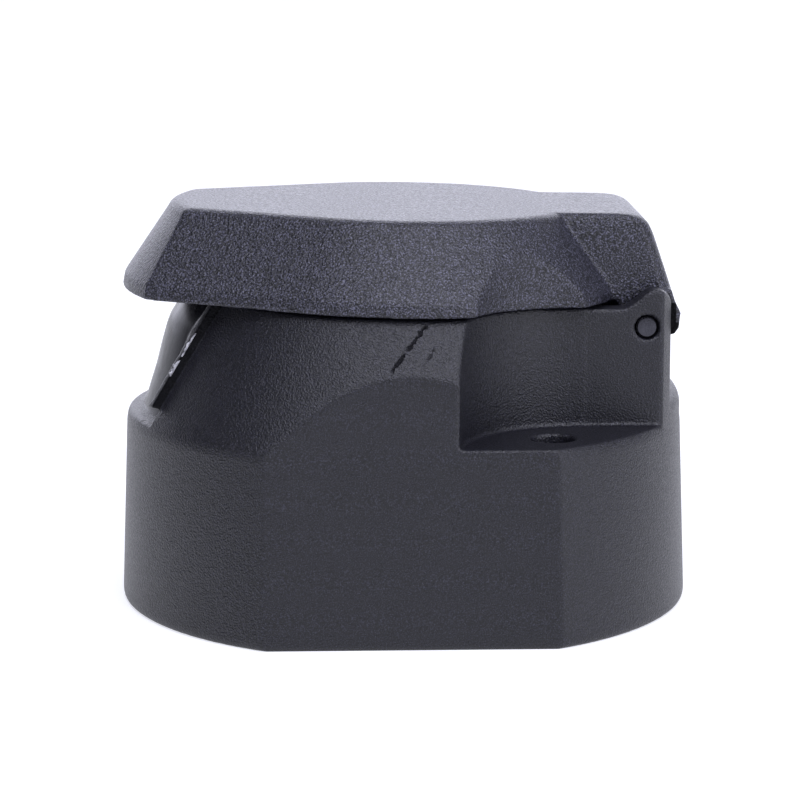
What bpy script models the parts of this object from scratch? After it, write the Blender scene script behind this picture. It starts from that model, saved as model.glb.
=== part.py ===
"""Seven-way round trailer socket: a black moulded housing with a sprung hinged lid.

Frame: origin at the centre of the mounting face, +Z out of the socket mouth,
+X towards the lid's hinge. All driving dimensions are in millimetres.
"""
import math

import bmesh
import bpy
from mathutils import Matrix, Vector

MM = 0.001
TURN = 2.0 * math.pi
FINE, COARSE = 60, 36          # sides of large and small turned shapes
GAP = 0.3                      # air between pieces that touch on the real object
LAP = 0.05                     # overlap where two shapes are joined into one piece

# Housing, outside
SKIRT_R = 40.0                 # at the mounting face
SKIRT_TOP_R = 39.0
SHOULDER_Z = 26.8              # skirt top, pocket floors and screw seats
CONE_R = 38.7                  # cone where it leaves the shoulder
BODY_TOP_Z = 42.9
CONE_TOP_R = 30.2
FACET_Y = 34.7                 # flat sides, at the mounting face
FACET_DRAFT = 0.03             # inward lean of the flat sides
RIDGE_HALF = 17.9              # hinge ridge and outer faces of the ears
RIDGE_END_X = 35.7
POCKET_X, POCKET_Y, POCKET_R = 24.0, 36.0, 18.0
NOSE_HALF = 16.2               # smooth panel opposite the hinge
NOSE_RIB = 1.1                 # thickness and height of the two thin ribs beside it

# Housing, inside
MOUTH_X = 2.0                  # axis of the plug mouth
MOUTH_R = 19.5
COLLAR_R = 21.8
COLLAR_TOP_Z = 50.5
LEDGE_Z = 22.0                 # carrier flange seats under this ledge
CHAMBER_R = 22.0
CORE_IN_R, CORE_OUT_R = 29.4, 36.4
CORE_TOP_Z = 23.5
CORE_HALF_Y = 31.2
SCREW_HOLE_R = 3.0
SCREW_HOLES = [(19.0, -26.0), (19.0, 26.0), (-26.0, 0.0)]
HEAD_BORE_R = 4.75             # recess for the third screw's head
BOSS_R = 6.0
KEY_WIDTH, KEY_DEPTH = 2.4, 1.3

# Hinge
PIN_X, PIN_Z, PIN_R = 32.4, 40.3, 1.47
PIN_HOLE_R = 1.8
PIN_HALF = 17.6
EAR_INNER_Y = 14.2
HINGE_SLOT_R = 6.2
KNUCKLE_R = 3.9
KNUCKLE_HALF = 13.6
SPRING_GAP_HALF = 4.2

# Lid, drawn flat and then set at its rest tilt on the seal
LID_REST_TILT = math.radians(0.9)
LID_BOTTOM_Z = 43.2
LID_TOP_Z = 55.15
LID_R = 24.2                   # top face, round part
LID_END_R = 32.4               # top face, end opposite the hinge
LID_TANGENT = math.radians(27.0)
LID_SPREAD = 7.0               # outward growth of the side walls, top to bottom
LID_WALL = 2.3
LID_CEILING_Z = 52.8
SCALLOP_X, SCALLOP_Y, SCALLOP_R = 23.8, 37.45, 17.1
EAR_RELIEF_R = 5.9
SEAL_X, SEAL_IN_R, SEAL_OUT_R = 0.8, 17.6, 22.2

# Contact set
CARRIER_Z = 18.2
CARRIER_TOP_Z = 44.0
CARRIER_R = 13.4
CONTACT_PITCH_R = 8.6
CONTACT_COUNT = 7
CONTACT_R = 2.2
CONTACT_BORE_R = 1.4
TERMINAL_R = 3.3
TERMINAL_BOTTOM_Z = 10.4
LOBE_Y, LOBE_R = 23.5, 4.5     # carrier screw lobes

# Spring
WIRE_R = 0.45
COIL_R = 2.75
COIL_TURNS = 5.5
COIL_PITCH = 1.15


# ---------------------------------------------------------------- mesh helpers

def clear_scene():
    for obj in list(bpy.data.objects):
        bpy.data.objects.remove(obj, do_unlink=True)


def make_object(name, bm):
    """Turn a bmesh in millimetres into an object in metres."""
    bmesh.ops.remove_doubles(bm, verts=bm.verts, dist=1e-5)
    bmesh.ops.recalc_face_normals(bm, faces=bm.faces)
    bmesh.ops.scale(bm, vec=(MM, MM, MM), verts=bm.verts)
    mesh = bpy.data.meshes.new(name)
    bm.to_mesh(mesh)
    bm.free()
    obj = bpy.data.objects.new(name, mesh)
    bpy.context.scene.collection.objects.link(obj)
    return obj


def loft(name, rings):
    """Closed solid through a stack of rings with equal point counts."""
    bm = bmesh.new()
    loops = [[bm.verts.new(point) for point in ring] for ring in rings]
    count = len(rings[0])
    for low, high in zip(loops, loops[1:]):
        for i in range(count):
            j = (i + 1) % count
            bm.faces.new((low[i], low[j], high[j], high[i]))
    bm.faces.new(loops[0])
    bm.faces.new(loops[-1])
    return make_object(name, bm)


def prism(name, outline, low, high, axis="Z"):
    """Extrude a flat outline along one axis; the outline gives the other two."""
    place = {
        "X": lambda a, b, c: (c, a, b),
        "Y": lambda a, b, c: (a, c, b),
        "Z": lambda a, b, c: (a, b, c),
    }[axis]
    rings = [[place(a, b, level) for a, b in outline] for level in (low, high)]
    return loft(name, rings)


def block(name, low, high):
    outline = [(low[0], low[1]), (high[0], low[1]), (high[0], high[1]), (low[0], high[1])]
    return prism(name, outline, low[2], high[2])


def circle(x, y, radius, count=48):
    return [
        (x + radius * math.cos(TURN * i / count), y + radius * math.sin(TURN * i / count))
        for i in range(count)
    ]


def cylinder(name, x, y, radius, low, high, axis="Z", count=48):
    return prism(name, circle(x, y, radius, count), low, high, axis)


def turned(name, profile, x=0.0, y=0.0, count=FINE):
    """Revolve a closed (radius, z) outline about the vertical line at x, y."""
    bm = bmesh.new()
    points = [bm.verts.new((x + r, y, z)) for r, z in profile]
    pairs = [(points[i - 1], points[i]) for i in range(len(points))]
    edges = [bm.edges.new(pair) for pair in pairs if max(v.co.x for v in pair) > x + 1e-6]
    bmesh.ops.spin(
        bm, geom=points + edges, cent=(x, y, 0.0), axis=(0.0, 0.0, 1.0),
        angle=TURN, steps=count, use_merge=True,
    )
    bmesh.ops.dissolve_degenerate(bm, dist=1e-5, edges=bm.edges)
    centre = [v for v in bm.verts if math.hypot(v.co.x - x, v.co.y - y) < 1e-6]
    bmesh.ops.dissolve_verts(bm, verts=centre)
    return make_object(name, bm)


def combine(target, other, operation):
    """Apply an exact Boolean to the target and remove the other object."""
    modifier = target.modifiers.new(operation.lower(), "BOOLEAN")
    modifier.operation = operation
    modifier.solver = "EXACT"
    modifier.object = other
    graph = bpy.context.evaluated_depsgraph_get()
    mesh = bpy.data.meshes.new_from_object(target.evaluated_get(graph))
    target.modifiers.clear()
    target.data = mesh
    bpy.data.objects.remove(other, do_unlink=True)
    return target


def cut(target, *others):
    for other in others:
        combine(target, other, "DIFFERENCE")
    return target


def add(target, *others):
    for other in others:
        combine(target, other, "UNION")
    return target


def keep(target, other):
    return combine(target, other, "INTERSECT")


def dress(obj, material, smooth_angle=32.0):
    """Give a finished piece its name, material and smooth round faces."""
    obj.data.name = obj.name
    obj.data.materials.clear()
    obj.data.materials.append(material)
    obj.data.shade_smooth()
    obj.data.set_sharp_from_angle(angle=math.radians(smooth_angle))
    return obj


def material(name, color, roughness, metallic=0.0):
    made = bpy.data.materials.new(name)
    made.use_nodes = True
    shader = made.node_tree.nodes["Principled BSDF"]
    shader.inputs["Base Color"].default_value = (*color, 1.0)
    shader.inputs["Roughness"].default_value = roughness
    shader.inputs["Metallic"].default_value = metallic
    return made


# ---------------------------------------------------------------- housing

def cone_radius(z):
    """Radius of the conical upper body at height z."""
    share = (z - SHOULDER_Z) / (BODY_TOP_Z - SHOULDER_Z)
    return CONE_R + share * (CONE_TOP_R - CONE_R)


def outer_body():
    profile = [
        (0.0, 0.0), (SKIRT_R - 0.4, 0.0), (SKIRT_R, 0.4), (SKIRT_TOP_R, SHOULDER_Z - 0.5),
        (CONE_R, SHOULDER_Z + LAP), (CONE_TOP_R, BODY_TOP_Z), (0.0, BODY_TOP_Z),
    ]
    return turned("housing", profile, count=FINE)


def nose_panel():
    """Smooth flared wall that replaces the cone opposite the hinge."""
    top = BODY_TOP_Z - LAP
    profile = [
        (24.0, SHOULDER_Z - 2.0), (37.4, SHOULDER_Z - 2.0), (37.4, SHOULDER_Z + LAP), (36.4, 28.0),
        (34.8, 32.9), (33.7, 37.3), (32.7, 40.2), (30.3, top), (24.0, top),
    ]
    return sector_of(profile, -NOSE_HALF - LAP, NOSE_HALF + LAP)


def nose_rib(side):
    """Thin upright rib along one edge of the nose panel, parallel to the cone."""
    low, high = 29.3, BODY_TOP_Z - 2 * LAP
    profile = [
        (24.0, low), (cone_radius(low) + NOSE_RIB, low),
        (cone_radius(high) + NOSE_RIB, high), (24.0, high),
    ]
    return sector_of(profile, side * (NOSE_HALF - NOSE_RIB), side * (NOSE_HALF + 2 * LAP))


def sector_of(profile, y_from, y_to):
    """The part of a turned solid on the -X side between two planes of constant y."""
    low, high = sorted((y_from, y_to))
    solid = turned("sector", profile, count=FINE)
    return keep(solid, block("slab", (-60.0, low, 0.0), (-14.0, high, 60.0)))


def ridge():
    """Block that carries the hinge, with the ears' raised tops."""
    outline = [
        (4.0, SHOULDER_Z - 2.0), (RIDGE_END_X, SHOULDER_Z - 2.0), (RIDGE_END_X, 43.4),
        (RIDGE_END_X - 0.8, 44.7), (RIDGE_END_X - 2.1, 44.95), (PIN_X - 0.2, 44.2), (29.6, BODY_TOP_Z - LAP), (4.0, BODY_TOP_Z - LAP),
    ]
    body = prism("ridge", outline, -RIDGE_HALF, RIDGE_HALF, axis="Y")
    limit_r = SKIRT_TOP_R - LAP
    limit = [(0.0, 0.0), (limit_r, 0.0), (limit_r, 60.0), (0.0, 60.0)]
    return keep(body, turned("limit", limit, count=FINE))


def ridge_foot():
    """Rounded shoulder between the skirt and the outer end of the ridge."""
    profile = [
        (24.5, 24.5), (SKIRT_TOP_R - 0.02, 24.5), (SKIRT_TOP_R - 0.02, 27.6), (38.4, 29.5),
        (36.9, 30.7), (35.4, 31.1), (24.5, 31.1),
    ]
    solid = turned("foot", profile, count=FINE)
    half = RIDGE_HALF - LAP
    return keep(solid, block("slab", (10.0, -half, 0.0), (60.0, half, 60.0)))


def facet_cutter(side):
    """Everything outside one of the two flat sides."""
    top = 60.0
    outline = [
        (side * (FACET_Y + FACET_DRAFT), -1.0), (side * (FACET_Y - FACET_DRAFT * top), top),
        (side * 60.0, top), (side * 60.0, -1.0),
    ]
    return prism("facet", outline, -60.0, 60.0, axis="X")


def pocket_cutter(side):
    """Tool pocket over one mounting screw beside the hinge ridge."""
    x, y = POCKET_X, side * POCKET_Y
    round_part = cylinder("pocket", x, y, POCKET_R, SHOULDER_Z, 60.0, count=FINE)
    low, high = sorted((side * RIDGE_HALF, side * 60.0))
    return add(round_part, block("bay", (x, low, SHOULDER_Z), (60.0, high, 60.0)))


def nose_cutter():
    """Removes the cone opposite the hinge so that the nose panel can replace it."""
    return block("nose", (-60.0, -NOSE_HALF, SHOULDER_Z), (-14.0, NOSE_HALF, 60.0))


def core_cutter():
    """Moulding recess around the underside, inside the skirt wall."""
    profile = [
        (CORE_IN_R, -1.0), (CORE_OUT_R + 0.3, -1.0), (CORE_OUT_R, CORE_TOP_Z),
        (CORE_IN_R, CORE_TOP_Z),
    ]
    ring = turned("core", profile, count=FINE)
    band = block("band", (-60.0, -CORE_HALF_Y, -2.0), (60.0, CORE_HALF_Y, 60.0))
    return keep(ring, band)


def mouth_cutter():
    """Plug cavity above, ledge, and wiring chamber below."""
    profile = [
        (0.0, -1.0), (CHAMBER_R, -1.0), (CHAMBER_R, LEDGE_Z), (MOUTH_R, LEDGE_Z),
        (MOUTH_R, COLLAR_TOP_Z - 0.6), (MOUTH_R + 0.6 + LAP, COLLAR_TOP_Z + LAP),
        (MOUTH_R + 0.6 + LAP, 60.0), (0.0, 60.0),
    ]
    cutter = turned("mouth", profile, x=MOUTH_X, count=COARSE)
    for side in (-1, 1):
        lobe = cylinder("lobe", MOUTH_X, side * LOBE_Y, LOBE_R, -1.0, LEDGE_Z, count=24)
        add(cutter, lobe)
    return cutter


def collar():
    profile = [
        (MOUTH_R - 1.0, 38.0), (COLLAR_R, 38.0), (COLLAR_R, COLLAR_TOP_Z - 0.4),
        (COLLAR_R - 0.4, COLLAR_TOP_Z), (MOUTH_R - 1.0, COLLAR_TOP_Z),
    ]
    return turned("collar", profile, x=MOUTH_X, count=COARSE)


def hinge_slot_cutter():
    """Space between the ears for the lid's knuckle to turn in."""
    slot = cylinder("slot", PIN_X, PIN_Z, HINGE_SLOT_R, -EAR_INNER_Y, EAR_INNER_Y, "Y", 32)
    above = block("above", (PIN_X - HINGE_SLOT_R, -EAR_INNER_Y, PIN_Z), (60.0, EAR_INNER_Y, 60.0))
    outside = block("outside", (PIN_X, -EAR_INNER_Y, PIN_Z - HINGE_SLOT_R), (60.0, EAR_INNER_Y, 60.0))
    return add(slot, above, outside)


def build_housing(plastic):
    body = outer_body()
    add(body, ridge(), ridge_foot())
    cut(body, facet_cutter(-1), facet_cutter(1), pocket_cutter(-1), pocket_cutter(1))
    cut(body, nose_cutter())
    add(body, nose_panel(), nose_rib(-1), nose_rib(1), collar())
    cut(body, core_cutter())
    for x, y in SCREW_HOLES:
        add(body, cylinder("boss", x, y, BOSS_R, LAP, SHOULDER_Z - 1.0, count=24))
    cut(body, mouth_cutter(), hinge_slot_cutter())
    for x, y in SCREW_HOLES:
        cut(body, cylinder("hole", x, y, SCREW_HOLE_R, -1.0, 60.0, count=20))
    third_x, third_y = SCREW_HOLES[2]
    cut(body, cylinder("head", third_x, third_y, HEAD_BORE_R, SHOULDER_Z + 4 * LAP, 60.0, count=24))
    cut(body, cylinder("pin_hole", PIN_X, PIN_Z, PIN_HOLE_R, -60.0, 60.0, "Y", 20))
    for side in (-1, 1):
        pilot = cylinder("pilot", MOUTH_X, side * LOBE_Y, 1.6, LEDGE_Z - 1.0, 30.0, count=12)
        cut(body, pilot)
    key_x = MOUTH_X - MOUTH_R
    key = block(
        "key", (key_x - 1.0, -KEY_WIDTH / 2, LEDGE_Z + 1.0),
        (key_x + KEY_DEPTH, KEY_WIDTH / 2, COLLAR_TOP_Z - 3.0),
    )
    add(body, key)
    return dress(body, plastic)


# ---------------------------------------------------------------- lid

def hinged(obj):
    """Move a lid piece's origin to the hinge axis and set it at the rest tilt."""
    pivot = Vector((PIN_X * MM, 0.0, PIN_Z * MM))
    obj.data.transform(Matrix.Translation(-pivot))
    obj.location = pivot
    obj.rotation_euler = (0.0, LID_REST_TILT, 0.0)
    return obj


def lid_outline(spread, z):
    """Lid plan grown outwards by spread: round, with tangent sides to a curved end."""
    radius, end = LID_R + spread, LID_END_R + spread
    touch = math.pi / 2 + LID_TANGENT
    corner = touch + math.acos(radius / end)
    arc = 22
    points = []
    for i in range(2 * arc + 1):
        angle = -touch + 2 * touch * i / (2 * arc)
        points.append((radius * math.cos(angle), radius * math.sin(angle), z))
    ends = 8
    for i in range(ends + 1):
        angle = corner + (TURN - 2 * corner) * i / ends
        points.append((end * math.cos(angle), end * math.sin(angle), z))
    return points


def spread_at(z):
    """How far the lid's sloping side stands outside the top outline at height z."""
    lip = LID_BOTTOM_Z + 1.8
    if z <= lip:
        return LID_SPREAD - 0.3 * (z - LID_BOTTOM_Z) / 1.8
    return (LID_SPREAD - 0.3) * (LID_TOP_Z - z) / (LID_TOP_Z - lip)


def lid_shell():
    rings = [lid_outline(spread_at(z), z) for z in (LID_BOTTOM_Z, 45.0, LID_TOP_Z - 0.9)]
    rings.append(lid_outline(0.15, LID_TOP_Z - 0.3))
    rings.append(lid_outline(-0.5, LID_TOP_Z))
    return loft("lid", rings)


def lid_hollow():
    """Inside of the lid, clear of the hinge block and behind the scallops."""
    rings = [lid_outline(spread_at(z) - LID_WALL, z) for z in (LID_BOTTOM_Z - 1.0, 45.0, LID_CEILING_Z)]
    hollow = loft("hollow", rings)
    keep(hollow, block("limit", (-60.0, -60.0, 0.0), (25.4, 60.0, 60.0)))
    for side in (-1, 1):
        wall = cylinder("wall", SCALLOP_X, side * SCALLOP_Y, SCALLOP_R + LID_WALL, 0.0, 60.0, count=64)
        cut(hollow, wall)
    return hollow


def hinge_block_ring(z, end_x, half, corner):
    """Rounded rectangle, open to the round part of the lid on its -X side."""
    start = 14.0
    points = [(start, half, z), (start, -half, z)]
    for side, first in ((-1, -0.25), (1, 0.0)):
        for i in range(5):
            angle = TURN * (first + 0.25 * i / 4)
            x = end_x - corner + corner * math.cos(angle)
            y = side * (half - corner) + corner * math.sin(angle)
            points.append((x, y, z))
    return points


def hinge_block():
    levels = [
        (LID_BOTTOM_Z, 36.7, 13.6, 1.0), (48.0, 34.85, 13.5, 2.0), (53.6, 32.7, 13.3, 3.4),
        (54.7, 32.1, 12.9, 3.4), (LID_TOP_Z, 31.3, 12.3, 3.0),
    ]
    return loft("block", [hinge_block_ring(*level) for level in levels])


def knuckle():
    """Barrel round the pin, with the tail that wraps behind the ears."""
    barrel = cylinder("knuckle", PIN_X, PIN_Z, KNUCKLE_R, -KNUCKLE_HALF, KNUCKLE_HALF, "Y", 36)
    web = [
        (28.9, 45.0), (28.9, 41.6), (PIN_X, PIN_Z), (35.2, 38.5), (36.7, 38.7),
        (37.3, 39.6), (37.5, 41.7), (36.7, LID_BOTTOM_Z), (36.1, 45.0),
    ]
    return add(barrel, prism("web", web, -KNUCKLE_HALF, KNUCKLE_HALF, axis="Y"))


def build_lid(plastic):
    lid = lid_shell()
    for side in (-1, 1):
        scallop = cylinder("scallop", SCALLOP_X, side * SCALLOP_Y, SCALLOP_R, 0.0, 80.0, count=FINE)
        cut(lid, scallop)
    add(lid, hinge_block(), knuckle())
    cut(lid, lid_hollow())
    for side in (-1, 1):
        low, high = sorted((side * (KNUCKLE_HALF + 0.1), side * 40.0))
        relief = cylinder("relief", PIN_X, PIN_Z, EAR_RELIEF_R, low, high, "Y")
        cut(lid, relief)
    cut(lid, block("spring_gap", (20.0, -SPRING_GAP_HALF, 30.0), (36.1, SPRING_GAP_HALF, 46.4)))
    cut(lid, cylinder("pin_hole", PIN_X, PIN_Z, PIN_HOLE_R, -60.0, 60.0, "Y", 20))
    leg_y = spring_leg_y()
    cut(lid, block("leg_slot", (35.0, leg_y - 0.8, 41.3), (39.0, leg_y + 0.8, 43.0)))
    lug = block("lug", (-23.3, -4.0, 46.0), (-21.5, 4.0, LID_CEILING_Z + 0.5))
    add(lid, lug)
    return dress(hinged(lid), plastic)


def build_lid_seal(rubber):
    low, high = COLLAR_TOP_Z + GAP, LID_CEILING_Z - GAP
    profile = [(SEAL_IN_R, low), (SEAL_OUT_R, low), (SEAL_OUT_R, high), (SEAL_IN_R, high)]
    seal = turned("lid_seal", profile, x=SEAL_X, count=COARSE)
    cut(seal, block("notch", (-60.0, -4.4, 0.0), (-20.9, 4.4, 60.0)))
    return dress(hinged(seal), rubber)


# ---------------------------------------------------------------- hinge hardware

def build_hinge_pin(steel):
    pin = cylinder("hinge_pin", PIN_X, PIN_Z, PIN_R, -PIN_HALF, PIN_HALF, "Y", 24)
    return dress(pin, steel)


def spring_leg_y():
    """Where the lid's leg leaves the coil, across the hinge."""
    return COIL_TURNS * COIL_PITCH / 2


def spring_path():
    """Centre line: housing leg, coil round the pin, lid leg out through the tail."""
    half = spring_leg_y()
    points = [Vector((36.2, -half, 35.1)), Vector((34.6, -half, 36.3))]
    steps = int(COIL_TURNS * 10)
    for i in range(steps + 1):
        share = i / steps
        angle = -TURN / 4 - COIL_TURNS * TURN * share
        points.append(Vector((
            PIN_X + COIL_R * math.cos(angle),
            -half + 2 * half * share,
            PIN_Z + COIL_R * math.sin(angle),
        )))
    points.append(Vector((35.0, half, PIN_Z + 2.25)))
    points.append(Vector((38.3, half, PIN_Z + 1.35)))
    return points


def wire_mesh(name, path, radius, sides=6):
    """Sweep a round wire along a path with closed ends."""
    rings = []
    across = Vector((0.0, 1.0, 0.0))
    for i, point in enumerate(path):
        ahead = path[min(i + 1, len(path) - 1)] - path[max(i - 1, 0)]
        ahead.normalize()
        side = across - ahead * across.dot(ahead)
        side.normalize()
        other = ahead.cross(side)
        ring = []
        for k in range(sides):
            angle = TURN * k / sides
            ring.append(point + radius * (math.cos(angle) * side + math.sin(angle) * other))
        rings.append(ring)
    return loft(name, rings)


def build_lid_spring(steel):
    return dress(wire_mesh("lid_spring", spring_path(), WIRE_R), steel, 50.0)


# ---------------------------------------------------------------- contact set

def contact_places():
    """One contact in the middle and six round it."""
    places = [(MOUTH_X, 0.0)]
    around = CONTACT_COUNT - 1
    for i in range(around):
        angle = TURN * (i + 0.5) / around
        places.append((
            MOUTH_X + CONTACT_PITCH_R * math.cos(angle), CONTACT_PITCH_R * math.sin(angle),
        ))
    return places


def build_carrier(plastic):
    flange_top = LEDGE_Z - GAP
    profile = [
        (0.0, CARRIER_Z), (CHAMBER_R - GAP, CARRIER_Z), (CHAMBER_R - GAP, flange_top),
        (CARRIER_R + 1.0, flange_top), (CARRIER_R, flange_top + 1.0),
        (CARRIER_R, CARRIER_TOP_Z - 0.6), (CARRIER_R - 0.6, CARRIER_TOP_Z), (0.0, CARRIER_TOP_Z),
    ]
    carrier = turned("contact_carrier", profile, x=MOUTH_X, count=COARSE)
    for side in (-1, 1):
        lobe = cylinder("lobe", MOUTH_X, side * LOBE_Y, LOBE_R - GAP, CARRIER_Z, flange_top, count=24)
        add(carrier, lobe)
    for side in (-1, 1):
        cut(carrier, cylinder("hole", MOUTH_X, side * LOBE_Y, 1.7, 0.0, 60.0, count=16))
    for x, y in contact_places():
        cut(carrier, cylinder("hole", x, y, CONTACT_R + GAP, 0.0, 60.0, count=16))
    return dress(carrier, plastic)


def build_contacts(brass):
    """Sockets with a clamping terminal on the wiring side."""
    shoulder_z = CARRIER_Z - GAP
    mouth_z = CARRIER_TOP_Z - 1.2
    thread_r = 1.75
    profile = [
        (thread_r, TERMINAL_BOTTOM_Z), (TERMINAL_R, TERMINAL_BOTTOM_Z), (TERMINAL_R, shoulder_z),
        (CONTACT_R, shoulder_z), (CONTACT_R, mouth_z), (CONTACT_BORE_R + 0.35, mouth_z),
        (CONTACT_BORE_R, mouth_z - 0.5), (CONTACT_BORE_R, 26.0), (0.0, 25.0),
        (0.0, 17.6), (thread_r, 16.6),
    ]
    for number, (x, y) in enumerate(contact_places(), start=1):
        dress(turned(f"contact_{number}", profile, x=x, y=y, count=16), brass)


def build_terminal_screws(steel):
    """Pan-head clamp screws, threaded up into the back of each contact."""
    head_z = TERMINAL_BOTTOM_Z - GAP
    profile = [
        (0.0, head_z - 1.9), (2.2, head_z - 1.9), (2.8, head_z - 1.3), (2.8, head_z),
        (1.45, head_z), (1.45, 16.0), (0.0, 16.4),
    ]
    for number, (x, y) in enumerate(contact_places(), start=1):
        screw = turned(f"terminal_screw_{number}", profile, x=x, y=y, count=14)
        slot = block("slot", (x - 3.5, y - 0.4, head_z - 3.0), (x + 3.5, y + 0.4, head_z - 0.9))
        dress(cut(screw, slot), steel)


def build_carrier_screws(steel):
    head_z = CARRIER_Z - GAP
    profile = [
        (0.0, head_z - 1.8), (2.4, head_z - 1.8), (3.0, head_z - 1.2), (3.0, head_z),
        (1.3, head_z), (1.3, 28.0), (0.0, 29.2),
    ]
    for number, side in enumerate((-1, 1), start=1):
        x, y = MOUTH_X, side * LOBE_Y
        screw = turned(f"carrier_screw_{number}", profile, x=x, y=y, count=14)
        for half in ((2.0, 0.4), (0.4, 2.0)):
            low = (x - half[0], y - half[1], head_z - 3.0)
            cut(screw, block("slot", low, (x + half[0], y + half[1], head_z - 0.8)))
        dress(screw, steel)


def main():
    clear_scene()
    housing_plastic = material("housing_plastic", (0.030, 0.029, 0.036), 0.55)
    lid_plastic = material("lid_plastic", (0.028, 0.027, 0.033), 0.60)
    carrier_plastic = material("carrier_plastic", (0.035, 0.035, 0.038), 0.45)
    seal_rubber = material("seal_rubber", (0.02, 0.02, 0.02), 0.80)
    pin_steel = material("pin_steel", (0.16, 0.16, 0.18), 0.42, 1.0)
    spring_steel = material("spring_steel", (0.20, 0.22, 0.28), 0.35, 1.0)
    screw_steel = material("screw_steel", (0.62, 0.61, 0.57), 0.30, 1.0)
    contact_brass = material("contact_brass", (0.78, 0.60, 0.30), 0.28, 1.0)
    build_housing(housing_plastic)
    build_lid(lid_plastic)
    build_lid_seal(seal_rubber)
    build_hinge_pin(pin_steel)
    build_lid_spring(spring_steel)
    build_carrier(carrier_plastic)
    build_contacts(contact_brass)
    build_terminal_screws(screw_steel)
    build_carrier_screws(screw_steel)


main()
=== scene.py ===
"""Looks of a round trailer socket: fine shells, moulded grain, wear and soft studio light.

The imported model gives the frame. Shapes are drawn in millimetres in its axes: origin at the
centre of the mounting face, +Z out of the plug mouth, +X towards the lid's hinge.
"""
import math

import bmesh
import bpy
import numpy as np
from mathutils import Matrix, Vector


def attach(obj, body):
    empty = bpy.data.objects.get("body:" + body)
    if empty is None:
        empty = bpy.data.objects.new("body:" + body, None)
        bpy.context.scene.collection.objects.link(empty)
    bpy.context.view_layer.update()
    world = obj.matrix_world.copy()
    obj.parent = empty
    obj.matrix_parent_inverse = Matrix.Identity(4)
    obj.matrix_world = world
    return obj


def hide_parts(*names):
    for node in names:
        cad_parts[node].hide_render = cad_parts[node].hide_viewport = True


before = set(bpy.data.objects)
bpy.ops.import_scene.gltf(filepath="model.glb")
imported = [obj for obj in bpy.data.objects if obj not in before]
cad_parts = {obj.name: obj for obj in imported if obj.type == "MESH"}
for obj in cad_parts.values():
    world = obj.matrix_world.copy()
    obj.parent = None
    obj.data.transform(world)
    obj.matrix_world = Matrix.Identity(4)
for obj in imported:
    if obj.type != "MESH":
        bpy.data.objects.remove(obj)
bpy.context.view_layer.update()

MM = 0.001
TURN = 2.0 * math.pi
LAP = 0.05                     # overlap where two shapes are joined into one piece
FAR, HIGH = 60.0, 80.0         # cutters and limits reach this far, past the part
ON_AXIS, MERGE = 1e-6, 1e-5    # points this near an axis lie on it, and this near each other are one
FULL_WEAR = 0.12               # a rounded edge that gave way this far counts as fully worn

# Housing, outside
SKIRT_R, SKIRT_TOP_R = 40.0, 39.0
SHOULDER_Z = 26.8
CONE_R, CONE_TOP_R = 38.7, 30.2
BODY_TOP_Z, RAISED_TOP_Z = 42.9, 44.6
FACET_Y, FACET_DRAFT = 34.7, 0.03
RIDGE_HALF, RIDGE_END_X = 17.9, 36.05
EAR_ROUND = 1.3
POCKET_X, POCKET_Y, POCKET_R = 24.0, 36.0, 18.0
NOSE_HALF, NOSE_RIB, NOSE_CORE_R, NOSE_CORE_X = 16.2, 1.1, 24.0, -14.0
EAR_TOP_R, EAR_TOP_Z = 2.6, 42.85
FOOT_R, FOOT_Z, FOOT_INNER_R, FOOT_BOTTOM_Z = 3.4, 27.6, 24.5, 24.5

# Housing, inside
MOUTH_X, MOUTH_R = 2.0, 19.5
COLLAR_R, COLLAR_BOTTOM_Z, COLLAR_TOP_Z = 21.8, 38.0, 50.5
LEDGE_Z, CHAMBER_R = 22.0, 22.0
CORE_IN_R, CORE_OUT_R, CORE_TOP_Z, CORE_HALF_Y = 29.4, 36.4, 23.5, 31.2
SCREW_HOLE_R, HEAD_BORE_R, BOSS_R = 3.0, 4.75, 6.0
SCREW_HOLES = [(19.0, -26.0), (19.0, 26.0), (-26.0, 0.0)]
PILOT_R, PILOT_TOP_Z = 1.6, 30.0
KEY_WIDTH, KEY_DEPTH = 2.4, 1.3
# A small hole beside the nose's foot is not cut; the housing material paints its shade as a dark spot here
VENT_PLACE, VENT_R = (-36.2, -12.4, 27.0), 0.42

# Hinge
PIN_X, PIN_Z, PIN_R, PIN_HOLE_R, PIN_HALF = 32.4, 40.3, 1.47, 1.66, 17.6
EAR_INNER_Y = 14.2
HINGE_SLOT_R = 6.2
KNUCKLE_R, KNUCKLE_HALF = 3.9, 13.6
SPRING_GAP_HALF = 4.2

# Lid
LID_REST_TILT = math.radians(0.9)
LID_BOTTOM_Z, LID_TOP_Z, LID_CEILING_Z = 43.2, 55.15, 52.8
LID_R, LID_END_R, LID_TANGENT = 24.2, 32.4, math.radians(27.0)
LID_SPREAD, LID_WALL, LIP_HEIGHT, LIP_DRAFT = 7.0, 2.3, 1.8, 0.3
HOLLOW_END_X, TAIL_CUT_X = 25.4, 39.0
SCALLOP_X, SCALLOP_Y, SCALLOP_R = 23.8, 37.45, 17.1
EAR_RELIEF_R = 5.9

# Contact set
CARRIER_Z, CARRIER_TOP_Z, CARRIER_R = 18.2, 44.0, 13.4
CONTACT_PITCH_R, CONTACT_R, CONTACT_BORE_R, RING_COUNT = 8.6, 2.2, 1.4, 6
TERMINAL_R, TERMINAL_BOTTOM_Z = 3.3, 10.4
LOBE_Y, LOBE_R = 23.5, 4.5
GAP = 0.3

# Spring
WIRE_R, COIL_R, COIL_TURNS, COIL_PITCH = 0.45, 2.75, 5.5, 1.15

# Plastic colours; the near-black one, with the Metallic input, reflects almost nothing and paints shade:
# in the gouges, in a small hole, on the nose ribs' outer faces and on the lid tail's end faces
HOUSING_BLACK, LID_BLACK = (0.0026, 0.0026, 0.0040), (0.0034, 0.0034, 0.0049)
PAINTED_SHADE_BLACK = (0.0012, 0.0012, 0.0018)

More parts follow.
